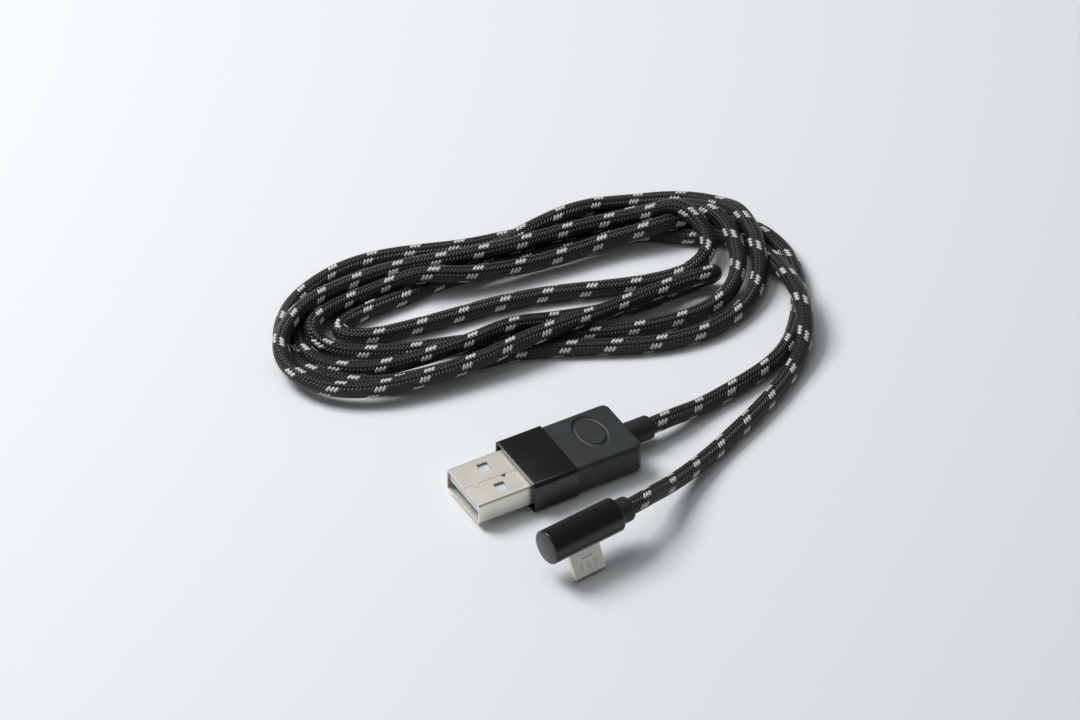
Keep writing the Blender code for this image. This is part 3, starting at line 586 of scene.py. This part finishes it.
bpy.ops.mesh.primitive_cylinder_add(vertices=3, radius=NOTCH_RADIUS * MM,
                                    depth=2 * NOTCH_DEPTH * MM,
                                    location=Vector((*NOTCH_PLACE, top)) * MM,
                                    rotation=(0.0, 0.0, math.pi))
carve(shell, bpy.context.object)
finish_piece(shell, nickel, stands_for=["usb_a_shell"])

# ---- USB-A insulator and contacts ---------------------------------------------------------
# A moulded nylon block with its tongue in the top of the mouth, and four gold-plated springs
# pressed into it from behind. Both are the frame's own shapes.

# Natural nylon: bluish white and slightly cloudy, with a fine spark-eroded grain.
nylon, shader = new_material("natural_nylon", Roughness=0.42, Subsurface_Weight=0.08,
                             Subsurface_Scale=0.4 * MM)
place = node(nylon, "ShaderNodeTexCoord").outputs["Object"]
clouds = node(nylon, "ShaderNodeTexNoise", links={"Vector": place, "Scale": 500.0}).outputs["Fac"]
milk = node(nylon, "ShaderNodeMix", {"data_type": "RGBA"},
            {0: clouds, 6: linear("#bcc5ce"), 7: linear("#d6dce3")})
grain = node(nylon, "ShaderNodeTexNoise", links={"Vector": place, "Scale": 9000.0}).outputs["Fac"]
feed(nylon, shader, Base_Color=milk.outputs[2], Normal=node(
    nylon, "ShaderNodeBump", links={"Strength": 0.2, "Distance": 0.01 * MM,
                                    "Height": grain}).outputs[0])

# Flash gold over nickel: a thin bright plate, a little worn where the mating contacts wipe it.
gold, shader = new_material("gold_plate", Metallic=1.0)
place = node(gold, "ShaderNodeTexCoord").outputs["Object"]
wiped = node(gold, "ShaderNodeMapping", links={"Vector": place, "Scale": (150, 2500, 2500)})
wear = node(gold, "ShaderNodeTexNoise", links={"Vector": wiped.outputs[0], "Scale": 1.0})
plate = node(gold, "ShaderNodeMix", {"data_type": "RGBA"},
             {0: wear.outputs["Fac"], 6: linear("#d9a945"), 7: linear("#f0cf86")})
dull = node(gold, "ShaderNodeMapRange", links={"Value": wear.outputs["Fac"], "To Min": 0.18,
                                               "To Max": 0.34})
feed(gold, shader, Base_Color=plate.outputs[2], Roughness=dull.outputs[0])


dress("usb_a_insulator", nylon)
for name in ("ground", "data_plus", "data_minus", "power"):
    dress(f"usb_a_contact_{name}", gold)

# ---- USB-A collar -------------------------------------------------------------------------
# A hard sleeve moulded in glossy black ABS round the back of the shell. Its front face is sunk
# inside a thin rim, and its long edges are rounded.

COLLAR_FRONT, COLLAR_BACK = -9.3, -0.1
COLLAR_HALF_WIDTH, COLLAR_HEIGHT = 7.35, 6.8
COLLAR_RIM, COLLAR_RECESS = 0.55, 0.7
COLLAR_ROUND, RIM_ROUND, SHELL_GAP = 0.9, 0.14, 0.12

# Glossy ABS: near-black, with a polished skin that shows a faint flow from the mould.
abs_gloss, shader = new_material("polished_black_abs", Coat_Weight=0.15, Coat_Roughness=0.1)
place = node(abs_gloss, "ShaderNodeTexCoord").outputs["Object"]
flow = node(abs_gloss, "ShaderNodeTexNoise", links={"Vector": place, "Scale": 160.0,
                                                    "Detail": 3.0}).outputs["Fac"]
tone = node(abs_gloss, "ShaderNodeMix", {"data_type": "RGBA"},
            {0: flow, 6: linear("#060607"), 7: linear("#0d0d0f")})
skin = node(abs_gloss, "ShaderNodeMapRange", links={"Value": flow, "To Min": 0.18,
                                                    "To Max": 0.28})
feed(abs_gloss, shader, Base_Color=tone.outputs[2], Roughness=skin.outputs[0], Normal=node(
    abs_gloss, "ShaderNodeBump", links={"Strength": 0.08, "Distance": 0.05 * MM,
                                        "Height": flow}).outputs[0])

collar = block("usb_a_gloss_collar", (COLLAR_FRONT, -COLLAR_HALF_WIDTH, 0.0),
               (COLLAR_BACK, COLLAR_HALF_WIDTH, COLLAR_HEIGHT))
round_edges(collar, COLLAR_ROUND, 6, lambda middle, way: abs(way.x) > 0.9)
open_up(collar)
pick("FACE", lambda middle, way: way.x < -0.9)
bpy.ops.mesh.inset(thickness=COLLAR_RIM * MM)
bpy.ops.mesh.extrude_region_move(TRANSFORM_OT_translate={"value": (COLLAR_RECESS * MM, 0.0, 0.0)})
bpy.ops.object.mode_set(mode="OBJECT")
round_edges(collar, RIM_ROUND, 3, lambda middle, way: abs(middle.x - COLLAR_FRONT) < 0.01
            and abs(way.x) < 0.1)
hole_y, hole_z = SHELL_HALF_WIDTH + SHELL_GAP, SHELL_HALF_HEIGHT + SHELL_GAP
hole = block("shell_hole", (-12.0, -hole_y, AXIS_Z - hole_z), (2.0, hole_y, AXIS_Z + hole_z))
round_edges(hole, SHELL_CORNER + 0.1, 6, lambda middle, way: abs(way.x) > 0.9)
carve(collar, hole)
finish_piece(collar, abs_gloss, stands_for=["usb_a_collar"])

# ---- USB-A rubber body --------------------------------------------------------------------
# Slate-grey soft TPE moulded behind the collar, hollow over the soldered wires. Round at its
# back corners, with a plain ring sunk in its top as a grip mark.

BODY_FRONT, BODY_BACK = 0.1, 13.9
BODY_HALF_WIDTH, BODY_LOW, BODY_TOP = 6.95, 0.3, 6.5
BODY_CORNER, BODY_ROUND = 1.5, 0.75
BODY_WALL, BODY_SIDE_WALL, CAVITY_BACK = 0.55, 1.2, 9.5
RELIEF_RADIUS, RELIEF_GAP = 2.3, 0.04
MARK_PLACE, MARK_RADIUS, MARK_GROOVE = (7.2, 0.9), 2.9, 0.52
MARK_STRETCH = (0.95, 1.4, 0.9)

# Matt TPE: a fine sandblasted grain, 0.1 mm in the mould and drawn at 0.25 mm to show, paler
# and smoother where it has been rubbed.
slate, shader = new_material("slate_tpe", Sheen_Weight=0.05, Sheen_Roughness=0.6)
place = node(slate, "ShaderNodeTexCoord").outputs["Object"]
grain = node(slate, "ShaderNodeTexNoise", links={"Vector": place, "Scale": 4000.0,
                                                 "Detail": 2.0}).outputs["Fac"]
rub = node(slate, "ShaderNodeTexNoise", links={"Vector": place, "Scale": 260.0, "Detail": 6.0,
                                               "Roughness": 0.65}).outputs["Fac"]
rubbed = node(slate, "ShaderNodeMapRange", links={"Value": rub, "From Min": 0.42,
                                                  "From Max": 0.72}).outputs[0]
tone = node(slate, "ShaderNodeMix", {"data_type": "RGBA"},
            {0: rubbed, 6: linear("#181c1e"), 7: linear("#292f32")})
dull = node(slate, "ShaderNodeMapRange", links={"Value": rub, "To Min": 0.62, "To Max": 0.46})
feed(slate, shader, Base_Color=tone.outputs[2], Roughness=dull.outputs[0], Normal=node(
    slate, "ShaderNodeBump", links={"Strength": 0.3, "Distance": 0.03 * MM,
                                    "Height": grain}).outputs[0])


def rod(name, start, end, radius, height=0.0, sides=64):
    """A round bar along X, in millimetres."""
    bpy.ops.object.select_all(action="DESELECT")
    bpy.ops.mesh.primitive_cylinder_add(
        vertices=sides, radius=radius * MM, depth=(end - start) * MM,
        location=((start + end) / 2 * MM, 0.0, height * MM), rotation=(0.0, math.pi / 2, 0.0))
    item = bpy.context.object
    item.name = name
    bpy.ops.object.transform_apply(location=True, rotation=True, scale=True)
    return item


body = block("usb_a_slate_body", (BODY_FRONT, -BODY_HALF_WIDTH, BODY_LOW),
             (BODY_BACK, BODY_HALF_WIDTH, BODY_TOP))
round_edges(body, BODY_CORNER, 8, lambda middle, way: abs(way.z) > 0.9 and middle.x > 1.0)
round_edges(body, BODY_ROUND, 5, lambda middle, way: abs(way.z) < 0.1 and middle.x > 1.0)
cavity_y = BODY_HALF_WIDTH - BODY_SIDE_WALL
carve(body, block("cavity", (-1.0, -cavity_y, BODY_LOW + BODY_WALL),
                  (CAVITY_BACK, cavity_y, BODY_TOP - BODY_WALL)))
carve(body, rod("relief_hole", CAVITY_BACK - 0.5, 15.0, RELIEF_RADIUS + RELIEF_GAP, AXIS_Z))
bpy.ops.object.select_all(action="DESELECT")
bpy.ops.mesh.primitive_torus_add(
    major_segments=72, minor_segments=12, major_radius=MARK_RADIUS * MM,
    minor_radius=MARK_GROOVE * MM, location=Vector((*MARK_PLACE, BODY_TOP + 0.1)) * MM)
ring = bpy.context.object
ring.scale = MARK_STRETCH
carve(body, ring)
finish_piece(body, slate, stands_for=["usb_a_rubber_body"])

# ---- USB-A strain relief ------------------------------------------------------------------
# A short sleeve of black rubber on the cord where it leaves the body, with a rounded end.

# Black rubber: satin, with a faint skin from the mould.
rubber, shader = new_material("black_satin_rubber", Sheen_Weight=0.05)
place = node(rubber, "ShaderNodeTexCoord").outputs["Object"]
grain = node(rubber, "ShaderNodeTexNoise", links={"Vector": place, "Scale": 2500.0,
                                                  "Detail": 2.0}).outputs["Fac"]
patch = node(rubber, "ShaderNodeTexNoise", links={"Vector": place, "Scale": 300.0}).outputs["Fac"]
tone = node(rubber, "ShaderNodeMix", {"data_type": "RGBA"},
            {0: patch, 6: linear("#0c0d0f"), 7: linear("#18191b")})
dull = node(rubber, "ShaderNodeMapRange", links={"Value": patch, "To Min": 0.5, "To Max": 0.62})
feed(rubber, shader, Base_Color=tone.outputs[2], Roughness=dull.outputs[0], Normal=node(
    rubber, "ShaderNodeBump", links={"Strength": 0.2, "Distance": 0.03 * MM,
                                     "Height": grain}).outputs[0])

RELIEF_FRONT, RELIEF_BACK, RELIEF_ROUND = 11.3, 19.4, 0.75
CORD_HOLE = CORD_DIAMETER / 2 / MM + 0.035

relief = rod("usb_a_relief_sleeve", RELIEF_FRONT, RELIEF_BACK, RELIEF_RADIUS, AXIS_Z)
round_edges(relief, RELIEF_ROUND, 6, lambda middle, way: middle.x > RELIEF_BACK - 0.1)
carve(relief, rod("cord_hole", 9.0, 22.0, CORD_HOLE, AXIS_Z, sides=48))
finish_piece(relief, rubber, stands_for=["usb_a_strain_relief"])

# ---- Crimps and wires ---------------------------------------------------------------------
# Inside both plugs the jacket is crimped in a plated steel ferrule, and four PVC-covered wires go
# on to the contacts. They are the frame's own shapes.

dress("usb_a_crimp", nickel)
dress("micro_crimp", nickel)
for colour, dark, pale in (("black", "#0b0b0c", "#1b1b1d"), ("green", "#1d7a3a", "#2f9a50"),
                           ("white", "#d5d5d0", "#eeeeea"), ("red", "#a31f1d", "#c93a33")):
    # Extruded PVC: even, half glossy, with a slow drift in its colour.
    cover, shader = new_material(f"pvc_{colour}", Roughness=0.38)
    place = node(cover, "ShaderNodeTexCoord").outputs["Object"]
    drift = node(cover, "ShaderNodeTexNoise", links={"Vector": place, "Scale": 900.0})
    tone = node(cover, "ShaderNodeMix", {"data_type": "RGBA"},
                {0: drift.outputs["Fac"], 6: linear(dark), 7: linear(pale)})
    feed(cover, shader, Base_Color=tone.outputs[2])
    dress(f"usb_a_wire_{colour}", cover)
    dress(f"micro_wire_{colour}", cover)

# ---- Micro-USB barrel and end disc --------------------------------------------------------
# A turned aluminium tube, anodised satin black, slotted for the blade in its side, and a turned
# disc pressed into its front end. The plug lies with its blade leaning on the table.

MICRO = (Matrix.Translation(MICRO_PLACE) @ Matrix.Rotation(MICRO_TURN, 4, "Z")
         @ Matrix.Rotation(-MICRO_LEAN, 4, "X"))
BARREL_RADIUS = 3.3
BARREL_FRONT, BARREL_BACK = -6.35, 8.7
BARREL_BORE, BARREL_ROUND = 2.6, 0.45
SLOT_HALF_WIDTH, SLOT_HALF_THICKNESS = 3.5, 0.97
DISC_FRONT, DISC_BACK, DISC_ROUND = -7.0, -6.4, 0.28
SPIGOT_STEP, SPIGOT_LENGTH = 0.75, 1.2

# Satin black anodising on turned aluminium: a dark dye under a clear oxide, with fine turning
# lines round the barrel, drawn 0.25 mm apart so that they just show.
anodised, shader = new_material("black_anodised_aluminium", Metallic=0.35, Coat_Weight=0.3,
                                Coat_Roughness=0.15)
place = node(anodised, "ShaderNodeTexCoord").outputs["Object"]
level = node(anodised, "ShaderNodeMapping", {"vector_type": "TEXTURE"},
             {"Vector": place, "Location": MICRO_PLACE, "Rotation": (0.0, 0.0, MICRO_TURN)})
turned = node(anodised, "ShaderNodeMapping", links={"Vector": level.outputs[0],
                                                    "Scale": (4000, 120, 120)})
lines = node(anodised, "ShaderNodeTexNoise", links={"Vector": turned.outputs[0], "Scale": 1.0,
                                                    "Detail": 1.0}).outputs["Fac"]
tone = node(anodised, "ShaderNodeMix", {"data_type": "RGBA"},
            {0: lines, 6: linear("#0e0e10"), 7: linear("#121214")})
dull = node(anodised, "ShaderNodeMapRange", links={"Value": lines, "To Min": 0.26, "To Max": 0.31})
feed(anodised, shader, Base_Color=tone.outputs[2], Roughness=dull.outputs[0])

barrel = rod("micro_turned_barrel", BARREL_FRONT, BARREL_BACK, BARREL_RADIUS, sides=96)
round_edges(barrel, BARREL_ROUND, 5, lambda middle, way: middle.x > BARREL_BACK - 0.01)
carve(barrel, rod("bore", -8.0, 10.0, BARREL_BORE, sides=64))
carve(barrel, block("blade_slot", (-SLOT_HALF_WIDTH, -SLOT_HALF_THICKNESS, -4.5),
                    (SLOT_HALF_WIDTH, SLOT_HALF_THICKNESS, -1.0)))
barrel.matrix_world = MICRO
finish_piece(barrel, anodised, stands_for=["micro_barrel"])

disc = rod("micro_end_disc", DISC_FRONT, DISC_BACK, BARREL_RADIUS, sides=96)
round_edges(disc, DISC_ROUND, 3, lambda middle, way: middle.x < DISC_FRONT + 0.01)
open_up(disc)
pick("FACE", lambda middle, way: way.x > 0.9)
bpy.ops.mesh.inset(thickness=SPIGOT_STEP * MM)
bpy.ops.mesh.extrude_region_move(
    TRANSFORM_OT_translate={"value": (SPIGOT_LENGTH * MM, 0.0, 0.0)})
bpy.ops.object.mode_set(mode="OBJECT")
disc.matrix_world = MICRO
finish_piece(disc, anodised, stands_for=["micro_end_cap"])

# ---- Micro-USB neck -----------------------------------------------------------------------
# A plug of black rubber moulded on the cord and held in the barrel's back end.

NECK_FRONT, NECK_BACK, NECK_RADIUS, NECK_ROUND = 7.2, 11.8, 2.4, 0.8

neck = rod("micro_rubber_neck", NECK_FRONT, NECK_BACK, NECK_RADIUS)
round_edges(neck, NECK_ROUND, 6, lambda middle, way: middle.x > NECK_BACK - 0.1)
carve(neck, rod("cord_hole", 6.0, 13.0, CORD_HOLE, sides=48))
neck.matrix_world = MICRO
finish_piece(neck, rubber, stands_for=["micro_neck"])

# ---- Micro-USB blade ----------------------------------------------------------------------
# The blade's skin is nickel-plated steel folded round the insulator, wide in front and narrower
# at its back. Three oval rings and a short line are stamped in its front.

TIP_Z, ROOT_Z = -7.9, -1.2
BLADE_HALF_WIDTH, BLADE_HALF_THICKNESS, BLADE_WALL = 3.425, 0.9, 0.25
FRONT_CORNER, BACK_CORNER = 0.18, 0.66
LATCH_X, LATCH_Z, LATCH_SLOT = 2.05, (-7.1, -5.7), 0.4
STAMP_XS, STAMP_Z, STAMP_RADIUS, STAMP_GROOVE = (-1.5, 0.0, 1.45), -6.2, 0.32, 0.1
STAMP_STRETCH = (1.0, 1.9, 1.8)
LINE_X, LINE_Z, LINE_DEPTH = (-1.1, 1.25), (-4.66, -4.4), 0.16

blade = block("micro_folded_blade", (-BLADE_HALF_WIDTH, -BLADE_HALF_THICKNESS, TIP_Z),
              (BLADE_HALF_WIDTH, BLADE_HALF_THICKNESS, ROOT_Z))
round_edges(blade, BACK_CORNER, 1, lambda middle, way: abs(way.z) > 0.9 and middle.y > 0.5)
round_edges(blade, FRONT_CORNER, 3, lambda middle, way: abs(way.z) > 0.9 and middle.y < -0.5)
open_up(blade)
pick("FACE", lambda middle, way: abs(way.z) > 0.9)
bpy.ops.mesh.delete(type="FACE")
bpy.ops.object.mode_set(mode="OBJECT")
modify(blade, "SOLIDIFY", thickness=BLADE_WALL * MM, offset=-1.0, use_even_offset=True)
for side in (-1, 1):
    carve(blade, block("latch_slot", (side * LATCH_X - LATCH_SLOT, 0.0, LATCH_Z[0]),
                       (side * LATCH_X + LATCH_SLOT, 2.0, LATCH_Z[1])))
for x in STAMP_XS:
    bpy.ops.object.select_all(action="DESELECT")
    bpy.ops.mesh.primitive_torus_add(
        major_segments=32, minor_segments=10, major_radius=STAMP_RADIUS * MM,
        minor_radius=STAMP_GROOVE * MM, rotation=(math.pi / 2, 0.0, 0.0),
        location=Vector((x, -BLADE_HALF_THICKNESS, STAMP_Z)) * MM)
    stamp = bpy.context.object
    stamp.scale = STAMP_STRETCH
    carve(blade, stamp)
carve(blade, block("stamped_line", (LINE_X[0], -1.5, LINE_Z[0]),
                   (LINE_X[1], LINE_DEPTH - BLADE_HALF_THICKNESS, LINE_Z[1])))
blade.matrix_world = MICRO
finish_piece(blade, nickel, stands_for=["micro_shell"])

# ---- Micro-USB insides --------------------------------------------------------------------
# A black nylon plate carries five gold contacts, and two spring-steel latches press out through
# the back of the blade. They are the frame's own shapes.

# Glass-filled black nylon: matt, faintly speckled by its fibres.
black_nylon, shader = new_material("black_nylon", Roughness=0.55)
place = node(black_nylon, "ShaderNodeTexCoord").outputs["Object"]
fibres = node(black_nylon, "ShaderNodeTexNoise", links={"Vector": place, "Scale": 6000.0})
tone = node(black_nylon, "ShaderNodeMix", {"data_type": "RGBA"},
            {0: fibres.outputs["Fac"], 6: linear("#0e0e0f"), 7: linear("#29292a")})
feed(black_nylon, shader, Base_Color=tone.outputs[2])

# Rolled spring steel: grey and bright, with fine rolling lines.
spring, shader = new_material("rolled_spring_steel", Metallic=1.0)
place = node(spring, "ShaderNodeTexCoord").outputs["Object"]
rolled = node(spring, "ShaderNodeMapping", links={"Vector": place, "Scale": (6000, 6000, 300)})
lines = node(spring, "ShaderNodeTexNoise", links={"Vector": rolled.outputs[0], "Scale": 1.0})
tone = node(spring, "ShaderNodeMix", {"data_type": "RGBA"},
            {0: lines.outputs["Fac"], 6: linear("#a9a9aa"), 7: linear("#c9c9c8")})
dull = node(spring, "ShaderNodeMapRange", links={"Value": lines.outputs["Fac"], "To Min": 0.25,
                                                 "To Max": 0.4})
feed(spring, shader, Base_Color=tone.outputs[2], Roughness=dull.outputs[0])

dress("micro_insulator", black_nylon)
for name in ("power", "data_minus", "data_plus", "sense", "ground"):
    dress(f"micro_contact_{name}", gold)
dress("micro_latch_left", spring)
dress("micro_latch_right", spring)

# ---- The micro-USB plug's parts -----------------------------------------------------------
# The cord leaves the USB-A plug's sleeve and ends in the micro-USB plug, whose parts are listed
# here.

micro_plug = [barrel, disc, neck, blade]
micro_plug += [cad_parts[name] for name in sorted(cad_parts)
               if name.startswith("micro_") and name not in (
                   "micro_barrel", "micro_end_cap", "micro_neck", "micro_shell")]
